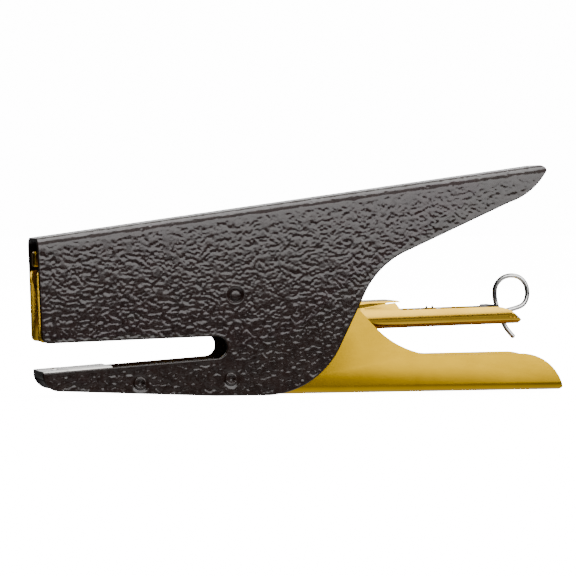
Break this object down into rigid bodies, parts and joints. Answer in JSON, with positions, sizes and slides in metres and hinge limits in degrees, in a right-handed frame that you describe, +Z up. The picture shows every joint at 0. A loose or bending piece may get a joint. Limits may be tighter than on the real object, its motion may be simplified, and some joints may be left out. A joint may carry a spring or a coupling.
{
  "type": "plier stapler",
  "caption": "Hand-held plier stapler: folded sheet body with upper handle and throat, brass squeeze lever, swinging magazine and pull-out follower.",
  "frame": {"origin": "mid-length and mid-width of the stapler, at the height of the lower jaw's lowest edge", "axes": "+X from the staple mouth towards the handle tips, +Y across the body, +Z up from the lower jaw to the upper handle"},
  "size_m": [0.1554, 0.02, 0.0665],
  "materials": {
    "hammer_enamel": "dark brown hammertone enamel, glossy and pebbled",
    "satin_brass": "satin yellow brass plating on steel",
    "bright_brass": "bright yellow brass plating on steel",
    "anvil_steel": "light grey plated steel",
    "zinc_steel": "bright zinc plated steel",
    "staple_wire": "galvanised staple wire",
    "spring_steel": "drawn spring wire",
    "nickel_wire": "bright nickel plated wire",
    "black_nylon": "dark moulded plastic"
  },
  "bodies": {
    "frame": {"body_shell": "hammer_enamel", "anvil_plate": "anvil_steel", "front_rivet": "hammer_enamel", "rear_rivet": "hammer_enamel", "pivot_pin": "hammer_enamel", "return_spring": "spring_steel"},
    "lever": {"lever_channel": "satin_brass", "drive_tongue": "satin_brass", "spring_bridge": "satin_brass"},
    "magazine": {"magazine_channel": "bright_brass", "front_guide": "bright_brass", "staple_rail": "zinc_steel", "staple_cover": "bright_brass", "staple_strip": "staple_wire", "pivot_sleeve": "zinc_steel", "clamp_spring": "spring_steel"},
    "driver": {"driver_blade": "bright_brass"},
    "follower": {"follower_rod": "nickel_wire", "rod_tip": "nickel_wire", "spring_stop": "nickel_wire", "end_block": "black_nylon", "ring_clip": "nickel_wire", "pusher_spring": "spring_steel"},
    "pusher": {"pusher": "zinc_steel"}
  },
  "joints": [
    {"name": "lever_squeeze", "type": "hinge", "parent": "frame", "child": "lever", "pos_m": [-0.0205, 0, 0.02885], "axis": [0, -1, 0], "range_deg": [0, 15], "stiffness_Nm_per_rad": 3, "springref_deg": -17.19, "deforming": ["return_spring", "clamp_spring"]},
    {"name": "magazine_swing", "type": "hinge", "parent": "frame", "child": "magazine", "pos_m": [-0.0205, 0, 0.02885], "axis": [0, -1, 0], "range_deg": [0, 8.01]},
    {"name": "driver_stroke", "type": "slide", "parent": "magazine", "child": "driver", "axis": [0.0333, 0, -0.9994], "range_m": [0, 0.0067]},
    {"name": "follower_pull", "type": "slide", "parent": "magazine", "child": "follower", "axis": [0.9994, 0, 0.0333], "range_m": [0, 0.1]},
    {"name": "pusher_travel", "type": "slide", "parent": "follower", "child": "pusher", "axis": [0.9994, 0, 0.0333], "range_m": [0, 0.026], "stiffness_N_per_m": 40, "springref_m": -0.03, "deforming": ["pusher_spring"]}
  ],
  "couplings": [
    {"joint": "magazine_swing", "follows": "lever_squeeze", "ratio": 0.53333},
    {"joint": "driver_stroke", "follows": "lever_squeeze", "m_per_rad": 0.0251}
  ]
}
